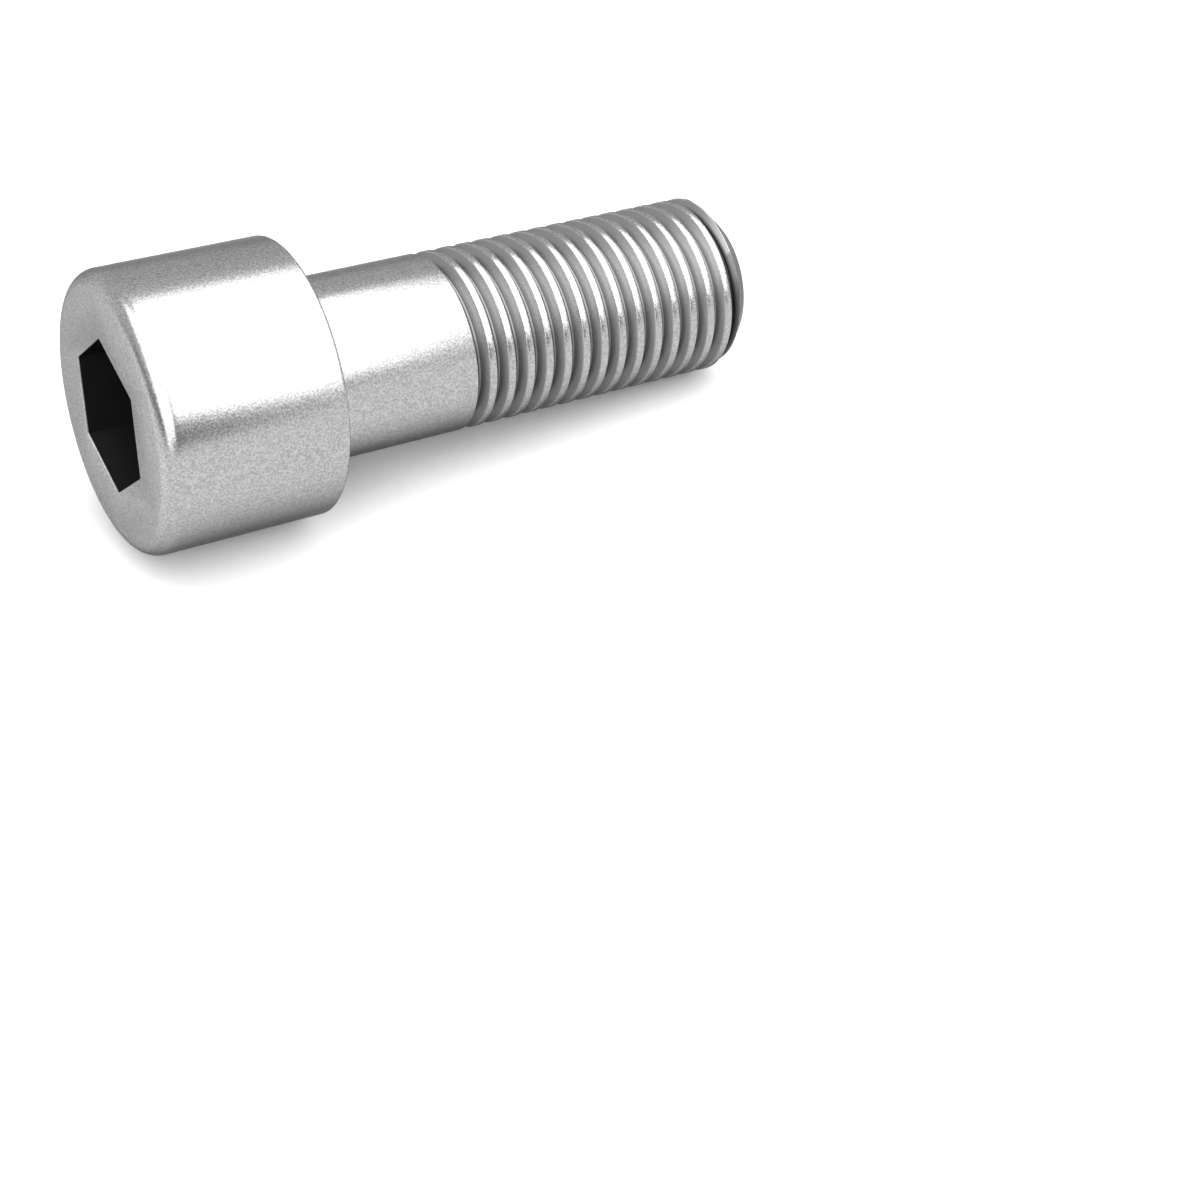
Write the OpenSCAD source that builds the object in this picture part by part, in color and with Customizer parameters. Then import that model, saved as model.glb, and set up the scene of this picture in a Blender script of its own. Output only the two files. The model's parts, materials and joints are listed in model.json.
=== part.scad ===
// Hexagon socket head cap screw: cylindrical head, plain shank and coarse right-hand thread.
// It is one piece of steel, forged and turned, with its thread cut into the end of the shank.
// The screw lies as it comes to rest, on the rear rim of its head and on its last crest.
// The tip points along +X and a little down, +Z is up, and the floor is at z = 0.

/* [Head] */
// Diameter of the cylindrical head
head_d = 45; // [40:0.5:54]
// Height of the head along the screw
head_h = 30; // [26:0.5:36]
// Radius that rounds the rim round the socket
head_round = 3; // [1:0.25:4]
// Radius that breaks the rim of the bearing face
rim_round = 0.5; // [0.2:0.1:1]

/* [Socket] */
// Width of the hexagon socket across its flats
key_af = 22; // [17:0.5:24]
// Depth of the hexagon's walls
socket_depth = 16; // [10:0.5:18]
// Diameter of the pilot hole whose cone is left at the bottom of the hexagon
pilot_d = 21; // [10:0.5:21.5]
// Angle of that cone, from side to side
pilot_angle = 120; // [100:5:150]
// Turn of the hexagon about the axis, with 0 when a corner points straight down
key_turn = 48; // [0:1:59]

/* [Body] */
// Length under the head, from the bearing face to the tip
body_len = 80; // [60:1:110]
// Diameter of the plain shank and over the crests of the thread, just under the nominal 30
body_d = 29.7; // [24:0.1:33]
// Radius of the fillet between the shank and the head
neck_fillet = 1; // [0.5:0.1:2]
// Length of the 45 degree chamfer at the tip
tip_chamfer = 3.2; // [2:0.1:4]

/* [Thread] */
// Length of the plain shank up to the start of the groove
shank_len = 24.5; // [10:0.5:40]
// Distance from one crest to the next
pitch = 3.5; // [3:0.25:4]
// Width of the flat left on the crest
crest_flat = 1.1; // [0.4:0.05:1.2]
// Width of the flat at the bottom of the groove
root_flat = 0.4; // [0.3:0.05:0.6]
// Angle between the two flanks
thread_angle = 60; // [55:1:65]
// Part of a turn over which the groove sinks in to its full depth
run_in = 0.4; // [0.25:0.05:1]
// Angle about the axis at which the groove starts, measured from the underside
thread_turn = -45; // [-180:1:180]

/* [Hidden] */
$fn = 96;
steel = [0.62, 0.62, 0.63];

// Straight steps that make up one turn of the groove
turn_steps = 48;
// Share of its full depth that the groove has where it starts
first_cut = 0.08;
// How far the groove's cutter stands out of the blank
cutter_proud = 0.4;
// How far the socket's cutter stands out of the head
mouth_proud = 1;

head_r = head_d / 2;
body_r = body_d / 2;
screw_len = head_h + body_len;
groove_start = head_h + shank_len;
groove_depth = (pitch - crest_flat - root_flat) / 2 / tan(thread_angle / 2);
key_r = key_af / 2 / cos(30);
pilot_cone = pilot_d / 2 / tan(pilot_angle / 2);
chamfer_start = screw_len - tip_chamfer;

// The groove is followed one pitch past the tip, so that it leaves the end cleanly
groove_turns = (screw_len - groove_start) / pitch + 1;
steps = ceil(groove_turns * turn_steps);

// Place along the axis of the groove's middle, at an angle from the underside
function groove_z(angle) = groove_start + pitch * (angle - thread_turn) / 360;

// End of the last whole crest on the underside, where the screw touches the floor
first_crest_end = groove_z(0) + pitch / 2 + crest_flat / 2;
last_crest_end = first_crest_end + pitch * floor((chamfer_start - first_crest_end) / pitch);

// The screw leans on the rounded rear rim of its head and on that crest
rim_z = head_h - rim_round;
rim_r = head_r - rim_round;
lean_run = last_crest_end - rim_z;
lean_drop = rim_r - body_r;
lean = atan(lean_drop / lean_run) + asin(rim_round / norm([lean_run, lean_drop]));
rest_height = rim_round + rim_r * cos(lean) + rim_z * sin(lean);

// The two ends of the leaning screw along +X, from the middle of the head's outer face
face_corner = head_r - head_round;
head_end_x = head_round * cos(lean) - face_corner * sin(lean) - head_round;
tip_end_x = screw_len * cos(lean) + (body_r - tip_chamfer) * sin(lean);

// Half outline of the head: radius across, distance from the outer face up
module head_outline() {
    square([face_corner, head_h]);
    translate([0, head_round])
        square([rim_r, head_h - head_round]);
    translate([0, head_round])
        square([head_r, rim_z - head_round]);
    translate([face_corner, head_round])
        circle(head_round);
    translate([rim_r, rim_z])
        circle(rim_round);
}

// Half outline of the shank with its tip, and of the fillet that joins it to the head
module body_outline() {
    polygon([
        [0, rim_z],
        [body_r, rim_z],
        [body_r, chamfer_start],
        [body_r - tip_chamfer, screw_len],
        [0, screw_len]
    ]);
    difference() {
        translate([0, rim_z])
            square([body_r + neck_fillet, rim_round + neck_fillet]);
        translate([body_r + neck_fillet, head_h + neck_fillet])
            circle(neck_fillet);
    }
}

// The turned blank, head down on its outer face
module blank() {
    rotate_extrude() {
        head_outline();
        body_outline();
    }
}

// Hexagon with the cone of its pilot hole at the bottom
module socket() {
    rotate([0, 0, key_turn])
        translate([0, 0, -mouth_proud])
            cylinder(h = socket_depth + mouth_proud, r = key_r, $fn = 6);
    translate([0, 0, socket_depth - mouth_proud])
        cylinder(h = mouth_proud, d = pilot_d);
    translate([0, 0, socket_depth])
        cylinder(h = pilot_cone, r1 = pilot_d / 2, r2 = 0);
}

// Share of the groove's full depth at a step along it
function cut_share(step) = min(1, first_cut + (1 - first_cut) * step / (run_in * turn_steps));

// The cutter's four corners at a step: outer and root on the head's side, root and outer on the tip's
function cutter_section(step) =
    let (
        angle = thread_turn + 360 * step / turn_steps,
        z = groove_z(angle),
        depth = groove_depth * cut_share(step),
        half_root = root_flat / 2,
        half_outer = half_root + (depth + cutter_proud) * tan(thread_angle / 2)
    )
    [
        for (corner = [
            [body_r + cutter_proud, -half_outer],
            [body_r - depth, -half_root],
            [body_r - depth, half_root],
            [body_r + cutter_proud, half_outer]
        ])
        [corner.x * cos(angle), corner.x * sin(angle), z + corner.y]
    ];

// Cutter that forms the thread: one groove wound round the blank from the shank past the tip
module groove_cutter() {
    side_faces = [
        for (s = [0:steps - 1], c = [0:3])
        let (d = (c + 1) % 4)
        [4 * s + c, 4 * (s + 1) + c, 4 * (s + 1) + d, 4 * s + d]
    ];
    end_faces = [[0, 1, 2, 3], [for (c = [3:-1:0]) 4 * steps + c]];
    polyhedron(
        points = [for (s = [0:steps]) each cutter_section(s)],
        faces = concat(side_faces, end_faces),
        convexity = 20
    );
}

// The finished screw, laid down on the floor
module cap_screw() {
    color(steel)
        translate([-(head_end_x + tip_end_x) / 2, 0, rest_height])
            rotate([0, 90 + lean, 0])
                difference() {
                    blank();
                    socket();
                    groove_cutter();
                }
}

cap_screw();
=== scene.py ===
import json
import math

import bpy
from mathutils import Matrix, Vector


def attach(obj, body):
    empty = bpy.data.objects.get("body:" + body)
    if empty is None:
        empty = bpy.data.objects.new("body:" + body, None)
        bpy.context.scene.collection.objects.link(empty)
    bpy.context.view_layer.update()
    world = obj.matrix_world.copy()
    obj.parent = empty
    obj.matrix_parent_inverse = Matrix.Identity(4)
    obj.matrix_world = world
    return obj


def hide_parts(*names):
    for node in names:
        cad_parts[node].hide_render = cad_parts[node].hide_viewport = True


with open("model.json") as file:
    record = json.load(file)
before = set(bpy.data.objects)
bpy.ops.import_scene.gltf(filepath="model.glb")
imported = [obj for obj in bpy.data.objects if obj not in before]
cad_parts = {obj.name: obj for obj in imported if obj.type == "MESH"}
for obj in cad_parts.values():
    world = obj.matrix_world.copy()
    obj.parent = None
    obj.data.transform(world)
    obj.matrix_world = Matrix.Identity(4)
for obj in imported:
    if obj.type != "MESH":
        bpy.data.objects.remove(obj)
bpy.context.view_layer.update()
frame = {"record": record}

# The camera looks down on the lying screw from the head's side, so that the socket's mouth faces
# it and the thread runs away to the right.
MM = 0.001
camera_place = Vector((-142.96, -289.3, 230.89)) * MM
camera_azimuth = math.radians(-31.387)
camera_elevation = math.radians(39.516)
camera_lens = 70.17
camera_film = 36

camera = bpy.data.objects.new("camera", bpy.data.cameras.new("camera"))
bpy.context.scene.collection.objects.link(camera)
camera.data.lens = camera_lens
camera.data.sensor_width = camera_film
camera.location = camera_place
camera_look = Vector((
    -math.sin(camera_azimuth) * math.cos(camera_elevation),
    math.cos(camera_azimuth) * math.cos(camera_elevation),
    -math.sin(camera_elevation),
))
camera.rotation_euler = camera_look.to_track_quat("-Z", "Y").to_euler()
bpy.context.scene.camera = camera
bpy.context.scene.view_settings.view_transform = "Standard"

# The floor is a plain white sheet under the screw. The camera sees it whiter than it is, so that
# it shows as white and keeps the soft shadow round the screw, and the metal mirrors it greyer.
floor_side = 1.4
floor_white = 0.7
floor_shown = 1.12
floor_mirrored = 0.66
first_bounce = 0.5


class Socket:
    """An output of a material's nodes, with Python's operators for its sums and comparisons."""

    def __init__(self, tree, output):
        self.tree = tree
        self.output = output

    @classmethod
    def node(cls, tree, kind, settings=None, output=0, **inputs):
        """Adds a node with its settings, then sets or links its sockets, and gives one output.

        A socket goes by its name, or by i and its number where several have the same name.
        """
        made = tree.nodes.new("ShaderNode" + kind)
        for name, value in (settings or {}).items():
            setattr(made, name, value)
        for name, value in inputs.items():
            numbered = name[0] == "i" and name[1:].isdigit()
            place = int(name[1:]) if numbered else name.replace("_", " ")
            if isinstance(value, Socket):
                tree.links.new(value.output, made.inputs[place])
            else:
                made.inputs[place].default_value = value
        return cls(tree, made.outputs[output])

    def math(self, operation, left, right):
        """Adds the Math node that an operator stands for."""
        return Socket.node(self.tree, "Math", {"operation": operation}, i0=left, i1=right)

    def __add__(self, other):
        return self.math("ADD", self, other)

    def __radd__(self, other):
        return self.math("ADD", other, self)

    def __sub__(self, other):
        return self.math("SUBTRACT", self, other)

    def __rsub__(self, other):
        return self.math("SUBTRACT", other, self)

    def __mul__(self, other):
        return self.math("MULTIPLY", self, other)

    def __rmul__(self, other):
        return self.math("MULTIPLY", other, self)

    def __lt__(self, other):
        return self.math("LESS_THAN", self, other)

    def __gt__(self, other):
        return self.math("GREATER_THAN", self, other)

    def least(self, other):
        return self.math("MINIMUM", self, other)

    def most(self, other):
        return self.math("MAXIMUM", self, other)

    def ramp(self, reach, low=0.0, high=1.0, **settings):
        """Goes from low to high while the value goes through the reach, and stays there."""
        return Socket.node(
            self.tree, "MapRange", settings, Value=self,
            From_Min=reach[0], From_Max=reach[1], To_Min=low, To_Max=high,
        )

    def blend(self, first, second):
        """The first colour where the value is 0, and the second where it is 1."""
        return Socket.node(
            self.tree, "Mix", {"data_type": "RGBA"}, output=2, i0=self, i6=first, i7=second
        )

    def vector(self, operation, other, output=0):
        return Socket.node(
            self.tree, "VectorMath", {"operation": operation}, output=output, i0=self, i1=other
        )

    def dot(self, other):
        return self.vector("DOT_PRODUCT", other, output="Value")


def new_material(name):
    """An empty material, its tree and its output node."""
    material = bpy.data.materials.new(name)
    material.use_nodes = True
    material.node_tree.nodes.clear()
    end = material.node_tree.nodes.new("ShaderNodeOutputMaterial")
    return material, material.node_tree, end


def ray_kinds(tree):
    """1 for the camera's own look at a thing, and 1 for a look by a mirror or through glass."""
    seen = Socket.node(tree, "LightPath", output="Is Camera Ray")
    mirrored = Socket.node(tree, "LightPath", output="Is Glossy Ray")
    through = Socket.node(tree, "LightPath", output="Is Transmission Ray")
    return seen, mirrored + through


bpy.ops.object.select_all(action="DESELECT")
bpy.ops.mesh.primitive_plane_add(size=floor_side, location=(0, 0, 0))
floor = bpy.context.object
floor.name = "floor"
floor_material, tree, end = new_material("floor_white")
seen, mirrored = ray_kinds(tree)
direct = Socket.node(tree, "LightPath", output="Diffuse Depth") < first_bounce
paper = Socket.node(
    tree, "BsdfDiffuse",
    Color=floor_white + seen * (floor_shown - floor_white)
    + mirrored * direct * (floor_mirrored - floor_white),
)
tree.links.new(paper.output, end.inputs["Surface"])
floor.data.materials.append(floor_material)

# The room has pale grey walls, whose foot is dark on the left and light on the right. One large
# soft lamp hangs over the screw and lays the broad white streak along its head, shank and crests,
# and another hangs further left and lights the rounding of the head.
wall_grey = 0.2
wall_mirrored = 0.64
wall_rise = (0.12, 0.45)
foot_way = Vector((0.8, 0.6, 0))
foot_spread = (-0.42, -0.02)
foot_range = (0.3, 1.3)
lamp_distance = 1.0
over_power = 13
over_size = (0.9, 2.25)
over_way = Vector((0.48, -0.29, 0.83)).normalized()
over_along = Vector((0.03, 0.95, 0.31))
left_power = 18.5
left_size = (1.22, 2.45)
left_way = Vector((-0.472, -0.374, 0.798)).normalized()
left_along = Vector((0.296, 0.786, 0.543))

world = bpy.data.worlds.new("room")
bpy.context.scene.world = world
world.use_nodes = True
tree = world.node_tree
tree.nodes.clear()
look = Socket.node(tree, "TexCoord", output="Generated")
upward = Socket.node(tree, "SeparateXYZ", output="Z", Vector=look)
foot = look.dot(foot_way).ramp(foot_spread, *foot_range)
rise = upward.ramp(wall_rise, foot, 1.0, interpolation_type="SMOOTHSTEP")
seen, mirrored = ray_kinds(tree)
walls = rise * (wall_grey + mirrored * (wall_mirrored - wall_grey))
sky = Socket.node(
    tree, "Background", Color=(1, 1, 1, 1), Strength=seen + (1.0 - seen) * walls
)
end = tree.nodes.new("ShaderNodeOutputWorld")
tree.links.new(sky.output, end.inputs["Surface"])


def hang_lamp(name, power, size, way, length_way):
    """A soft rectangular lamp that faces the screw from a direction, its length along another."""
    lamp = bpy.data.objects.new(name, bpy.data.lights.new(name, "AREA"))
    bpy.context.scene.collection.objects.link(lamp)
    lamp.data.energy = power
    lamp.data.shape = "RECTANGLE"
    lamp.data.size, lamp.data.size_y = size
    lamp.location = way * lamp_distance
    width_way = length_way.cross(way).normalized()
    turned = Matrix((width_way, way.cross(width_way), way)).transposed()
    lamp.rotation_euler = turned.to_euler()


hang_lamp("lamp_over", over_power, over_size, over_way, over_along)
hang_lamp("lamp_left", left_power, left_size, left_way, left_along)

# The screw is one piece of alloy steel: the head is forged, the shank turned, the hexagon
# pressed in and the thread cut. It is modelled standing on its head, and laid down at the end.
head_r = 22.5 * MM
head_h = 30 * MM
head_round = 3 * MM
rim_round = 0.5 * MM
body_r = 14.85 * MM
body_len = 80 * MM
neck_fillet = 1 * MM
tip_chamfer = 3.2 * MM
screw_len = head_h + body_len
round_steps = 192
head_round_steps = 10
rim_round_steps = 4
fillet_steps = 5
ring_slack = 0.02 * MM
facing_up = 0.9


def pick(obj, edges=None, faces=None):
    """Selects in code the edges or faces of a mesh for which a test on them is true."""
    bpy.ops.object.mode_set(mode="OBJECT")
    mesh = obj.data
    for item in (*mesh.vertices, *mesh.edges, *mesh.polygons):
        item.select = False
    if edges:
        bpy.context.tool_settings.mesh_select_mode = (False, True, False)
        for edge in mesh.edges:
            ends = [mesh.vertices[v].co for v in edge.vertices]
            edge.select = edges(*ends)
    if faces:
        bpy.context.tool_settings.mesh_select_mode = (False, False, True)
        for face in mesh.polygons:
            face.select = faces(face)
    bpy.ops.object.mode_set(mode="EDIT")


def ring_at(height, radius):
    """A test for the edges of the ring at a height and a radius."""
    def test(*ends):
        return all(
            abs(end.z - height) < ring_slack and abs(end.xy.length - radius) < ring_slack
            for end in ends
        )
    return test


bpy.ops.object.select_all(action="DESELECT")
bpy.ops.mesh.primitive_cylinder_add(
    vertices=round_steps, radius=head_r, depth=head_h, location=(0, 0, head_h / 2)
)
screw = bpy.context.object
screw.name = "screw"
bpy.ops.object.transform_apply(location=True, rotation=True, scale=True)
pick(screw, faces=lambda face: face.normal.z > facing_up)
bpy.ops.mesh.inset(thickness=head_r - body_r, depth=0)
bpy.ops.mesh.extrude_region_move(TRANSFORM_OT_translate={"value": (0, 0, body_len)})
for height, radius, width, steps in (
    (0, head_r, head_round, head_round_steps),
    (head_h, head_r, rim_round, rim_round_steps),
    (head_h, body_r, neck_fillet, fillet_steps),
    (screw_len, body_r, tip_chamfer, 1),
):
    pick(screw, edges=ring_at(height, radius))
    bpy.ops.mesh.bevel(offset=width, segments=steps, profile=0.5, affect="EDGES")
bpy.ops.object.mode_set(mode="OBJECT")

# The socket is pressed into the head: a hexagon of 22 mm across its flats, with the cone of the
# pilot hole left at its bottom. Its tools stand proud of the mouth, so that they cut clean.
key_sides = 6
key_af = 22 * MM
key_turn = math.radians(48)
socket_depth = 16 * MM
pilot_r = 10.5 * MM
pilot_half_angle = math.radians(60)
mouth_proud = 1 * MM
cone_overlap = 0.05 * MM
key_r = key_af / 2 / math.cos(math.pi / key_sides)
pilot_cone = pilot_r / math.tan(pilot_half_angle)
pilot_start = pilot_r * mouth_proud / pilot_cone


def cut_away(tool):
    """Takes a tool's volume off the screw, and the tool away."""
    bpy.ops.object.select_all(action="DESELECT")
    screw.select_set(True)
    bpy.context.view_layer.objects.active = screw
    cut = screw.modifiers.new("cut", "BOOLEAN")
    cut.operation = "DIFFERENCE"
    cut.solver = "MANIFOLD"
    cut.object = tool
    bpy.ops.object.modifier_apply(modifier=cut.name)
    bpy.data.objects.remove(tool)


def edit_mode():
    """Opens the active mesh with nothing selected."""
    bpy.ops.object.mode_set(mode="EDIT")
    bpy.ops.mesh.select_all(action="DESELECT")


bpy.ops.mesh.primitive_cylinder_add(
    vertices=key_sides, radius=key_r, depth=socket_depth + mouth_proud,
    location=(0, 0, (socket_depth - mouth_proud) / 2),
)
hexagon = bpy.context.object
first = hexagon.data.vertices[0].co
hexagon.rotation_euler.z = key_turn - math.atan2(first.y, first.x)
bpy.ops.object.transform_apply(location=True, rotation=True, scale=True)
cut_away(hexagon)

bpy.ops.mesh.primitive_cone_add(
    vertices=round_steps, radius1=pilot_r + pilot_start, radius2=0,
    depth=pilot_cone + mouth_proud, location=(0, 0, socket_depth + (pilot_cone - mouth_proud) / 2),
)
bpy.ops.object.transform_apply(location=True, rotation=True, scale=True)
cone = bpy.context.object
edit_mode()
bpy.ops.mesh.select_all(action="SELECT")
bpy.ops.mesh.bisect(
    plane_co=(0, 0, socket_depth - cone_overlap), plane_no=(0, 0, 1),
    clear_inner=True, use_fill=True,
)
bpy.ops.object.mode_set(mode="OBJECT")
cut_away(cone)

# The thread is one groove of 60 degrees, wound right-handed round the blank with 3.5 mm from
# crest to crest. It sinks in over less than half a turn and runs out through the tip's chamfer.
pitch = 3.5 * MM
crest_flat = 1.1 * MM
root_flat = 0.4 * MM
flank_angle = math.radians(30)
flank_slope = math.tan(flank_angle)
groove_depth = (pitch - crest_flat - root_flat) / 2 / flank_slope
shank_len = 24.5 * MM
run_in = 0.4
first_cut = 0.08
thread_turn = math.radians(-45)
cutter_proud = 0.4 * MM
groove_start = head_h + shank_len
groove_turns = math.ceil((screw_len - groove_start) / pitch) + 1
step_turn = 2 * math.pi / round_steps

bpy.ops.mesh.primitive_plane_add(size=1)
cutter = bpy.context.object
half_outer = root_flat / 2 + (groove_depth + cutter_proud) * flank_slope
corners = (
    (body_r + cutter_proud, -half_outer),
    (body_r - groove_depth, -root_flat / 2),
    (body_r - groove_depth, root_flat / 2),
    (body_r + cutter_proud, half_outer),
)
order = list(cutter.data.polygons[0].vertices)
for index, (corner_r, corner_z) in zip(order, corners):
    cutter.data.vertices[index].co = (corner_r, 0, corner_z)
edit_mode()
bpy.ops.mesh.select_all(action="SELECT")
bpy.ops.mesh.delete(type="ONLY_FACE")
bpy.ops.object.mode_set(mode="OBJECT")
wind = cutter.modifiers.new("wind", "SCREW")
wind.axis = "Z"
wind.angle = 2 * math.pi
wind.screw_offset = pitch
wind.iterations = groove_turns
wind.steps = round_steps
wind.render_steps = round_steps
wind.use_smooth_shade = False
bpy.ops.object.modifier_apply(modifier=wind.name)

# Every fourth vertex starts a new step along the groove, which bites deeper from step to step
# over its run-in. Each step is then turned about the axis and climbs along it.
for vertex in cutter.data.vertices:
    step, corner = divmod(vertex.index, len(corners))
    angle = step * step_turn
    bite = groove_depth * min(1, first_cut + (1 - first_cut) * step / (run_in * round_steps))
    corner_r, corner_z = corners[order.index(corner)]
    if corner_r < body_r:
        corner_r = body_r - bite
    else:
        corner_z = math.copysign(root_flat / 2 + (bite + cutter_proud) * flank_slope, corner_z)
    turn = angle + thread_turn
    climb = pitch * angle / (2 * math.pi)
    vertex.co = (
        corner_r * math.cos(turn), corner_r * math.sin(turn), groove_start + climb + corner_z
    )
pick(cutter, edges=lambda *ends: False)
bpy.ops.mesh.select_non_manifold()
bpy.ops.mesh.edge_face_add()
bpy.ops.mesh.select_all(action="SELECT")
bpy.ops.mesh.normals_make_consistent(inside=False)
bpy.ops.object.mode_set(mode="OBJECT")
cut_away(cutter)

# The sharp edges are broken, as tumbling leaves them, once the points that the cuts left on top
# of each other are merged. Where the groove runs out to a point in the tip's chamfer, its lips
# stay sharp.
merge_gap = 0.004 * MM
edge_break = 0.08 * MM
edge_steps = 2
sharp_angle = math.radians(30)
run_out_z = screw_len - 3 * MM
run_out_r = (body_r - tip_chamfer + 0.5 * MM, body_r - 0.3 * MM)

edit_mode()
bpy.ops.mesh.select_all(action="SELECT")
bpy.ops.mesh.remove_doubles(threshold=merge_gap)
bpy.ops.mesh.dissolve_degenerate(threshold=merge_gap)
bpy.context.tool_settings.mesh_select_mode = (False, True, False)
bpy.ops.mesh.select_all(action="DESELECT")
bpy.ops.mesh.edges_select_sharp(sharpness=sharp_angle)
bpy.ops.object.mode_set(mode="OBJECT")
weights = screw.data.attributes.new("bevel_weight_edge", "FLOAT", "EDGE").data
for edge, weight in zip(screw.data.edges, weights):
    ends = [screw.data.vertices[v].co for v in edge.vertices]
    ran_out = all(
        end.z > run_out_z and run_out_r[0] < end.xy.length < run_out_r[1] for end in ends
    )
    weight.value = 1.0 if edge.select and not ran_out else 0.0
softened = screw.modifiers.new("edge_break", "BEVEL")
softened.width = edge_break
softened.segments = edge_steps
softened.limit_method = "WEIGHT"
softened.use_clamp_overlap = False
softened.harden_normals = False
bpy.ops.object.modifier_apply(modifier=softened.name)
bpy.ops.object.shade_smooth_by_angle(angle=sharp_angle)

# The screw is laid down on the rear rim of its head and on its last crest. The place and the
# slope of its axis are those of the socket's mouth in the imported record.
mounts = {mount["name"]: mount for mount in frame["record"]["mounts"]}
mouth = Vector(mounts["hex_socket"]["pos_m"])
along = -Vector(mounts["hex_socket"]["axis"]).normalized()
across = Vector((0, 1, 0))
down = across.cross(along)
screw.data.transform(Matrix((
    (down.x, across.x, along.x, mouth.x),
    (down.y, across.y, along.y, mouth.y),
    (down.z, across.z, along.z, mouth.z),
    (0, 0, 0, 1),
)))

# The steel is tumbled, which leaves a fine grain over the faint rings of its turning. The outer
# face is duller, and its colour is lifted there as a painted reflection. The socket is rougher and
# painted near black as the shade deep inside it. The groove's cut faces are rougher and painted
# darker, with painted shade deeper still at its root and along its sides, and most where it runs
# out at the tip.
steel_dark = (0.39, 0.39, 0.393, 1)
steel_light = (0.63, 0.63, 0.634, 1)
edge_tint = (0.36, 0.36, 0.36, 1)
steel_roughness = 0.16
grain_roughness = 0.1
grain_scale = 3000
grain_detail = 3.0
grain_fineness = 0.65
grain_height = 0.02 * MM
speckle_range = (0.38, 0.62)
ring_scale = 3500
ring_detail = 2.0
ring_fineness = 0.5
ring_height = 0.0015 * MM
# Painted reflection: the head's face is coloured this much lighter than the rest of the steel.
face_painted_lift = 1.3
face_fade = (0.02 * MM, 0.9 * MM)
face_roughness = 0.3
# The groove's cut faces are painted a darker steel than the rest, as shade in the recess.
groove_painted_shade = (0.35, 0.35, 0.353, 1)
cut_depth = (0.1 * MM, 0.3 * MM)
cut_roughness = 0.3
# Painted shade in the groove: its dark colour, and how it thins out on the lowest side of the
# thread.
groove_shade_dark = (0.135, 0.135, 0.135, 1)
shade_fade_hang = (4 * MM, 8 * MM)
shade_fade_share = 0.3
flank_depth = (0.1 * MM, 0.5 * MM)
flank_share = 0.5
flank_hang = (-8 * MM, 1 * MM)
root_depth = (1.3 * MM, 1.65 * MM)
root_share = 0.4
root_hang = (-4 * MM, 4 * MM)
# Painted shade, near black, deep in the groove where it runs out at the tip.
tip_shade_black = (0.045, 0.045, 0.045, 1)
tip_shade_start = (screw_len - 5.2 * MM, screw_len - 4.6 * MM)
tip_shade_depth = (0.9 * MM, 1.5 * MM)
tip_skin = 0.2 * MM
# Painted shade: the socket is coloured near black, as the shade deep inside it, and is rougher.
socket_shade_black = (0.016, 0.016, 0.0165, 1)
socket_roughness = 0.6
socket_edge = (14 * MM, 13.5 * MM)
socket_start = (0.02 * MM, 0.25 * MM)

steel, tree, end = new_material("steel_satin")
place = Socket.node(tree, "TexCoord", output="Object")
from_mouth = place.vector("SUBTRACT", mouth)
depth = from_mouth.dot(along)
hang = from_mouth.dot(down)
off_axis = from_mouth.vector("CROSS_PRODUCT", along)
radius = Socket.node(tree, "VectorMath", {"operation": "LENGTH"}, output="Value", i0=off_axis)
grain = Socket.node(
    tree, "TexNoise", Vector=place,
    Scale=grain_scale, Detail=grain_detail, Roughness=grain_fineness,
)
lathe = Socket.node(tree, "CombineXYZ", X=depth, Y=radius, Z=0.0)
rings = Socket.node(
    tree, "TexNoise", Vector=lathe,
    Scale=ring_scale, Detail=ring_detail, Roughness=ring_fineness,
)

# Where each finish and each painted shade lies, from 0 to 1. Depth runs from the head's face to
# the tip, sunk is how far a point lies in below the crests, and hang how far below the axis.
blank_r = (screw_len - tip_chamfer + body_r - depth).least(body_r)
in_groove = (
    (blank_r - radius).ramp(cut_depth)
    * (depth > groove_start - pitch) * (depth < screw_len - tip_skin)
)
sunk = body_r - radius
# Painted shade in the groove, along its flanks and at its root: stronger below the axis than above
# it, and thinner again on the lowest side.
shade_fade_low = hang.ramp(shade_fade_hang, 1.0, shade_fade_share)
flank_shade = sunk.ramp(flank_depth, 0.0, flank_share) * hang.ramp(flank_hang) * shade_fade_low
root_shade = sunk.ramp(root_depth) * hang.ramp(root_hang, root_share, 1.0) * shade_fade_low
# Painted shade, deepest where the groove runs out at the tip.
tip_shade = sunk.ramp(tip_shade_depth) * depth.ramp(tip_shade_start)
on_face = depth.ramp(face_fade, 1.0, 0.0)
# Where the socket lies, which is painted near black as its shade.
in_socket = radius.ramp(socket_edge) * depth.ramp(socket_start) * (depth < head_h)

bright = grain.ramp(speckle_range).blend(steel_dark, steel_light)
# The groove's faces are painted darker, and darker still where the painted shade lies.
groove_shaded = flank_shade.most(root_shade).blend(groove_painted_shade, groove_shade_dark)
threaded = in_groove.blend(bright, tip_shade.blend(groove_shaded, tip_shade_black))
# Painted reflection: the colour is lifted on the head's face.
face_lifted = Socket.node(
    tree, "VectorMath", {"operation": "SCALE"}, i0=threaded, Scale=1.0 + on_face * (face_painted_lift - 1.0)
)
# The socket's painted shade goes over all the rest.
colour = in_socket.blend(face_lifted, socket_shade_black)
roughness = (
    steel_roughness + grain_roughness * grain
    + on_face * (face_roughness - steel_roughness)
    + in_groove * (cut_roughness - steel_roughness)
    + in_socket * (socket_roughness - steel_roughness)
)
surface = Socket.node(
    tree, "Bump", Strength=1.0, Distance=1.0, Height=grain * grain_height + rings * ring_height
)
metal = Socket.node(
    tree, "BsdfPrincipled", Base_Color=colour, Metallic=1.0, Roughness=roughness, Normal=surface,
    Specular_Tint=edge_tint,
)
tree.links.new(metal.output, end.inputs["Surface"])
screw.data.materials.clear()
screw.data.materials.append(steel)
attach(screw, "root")
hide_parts("cap_screw")
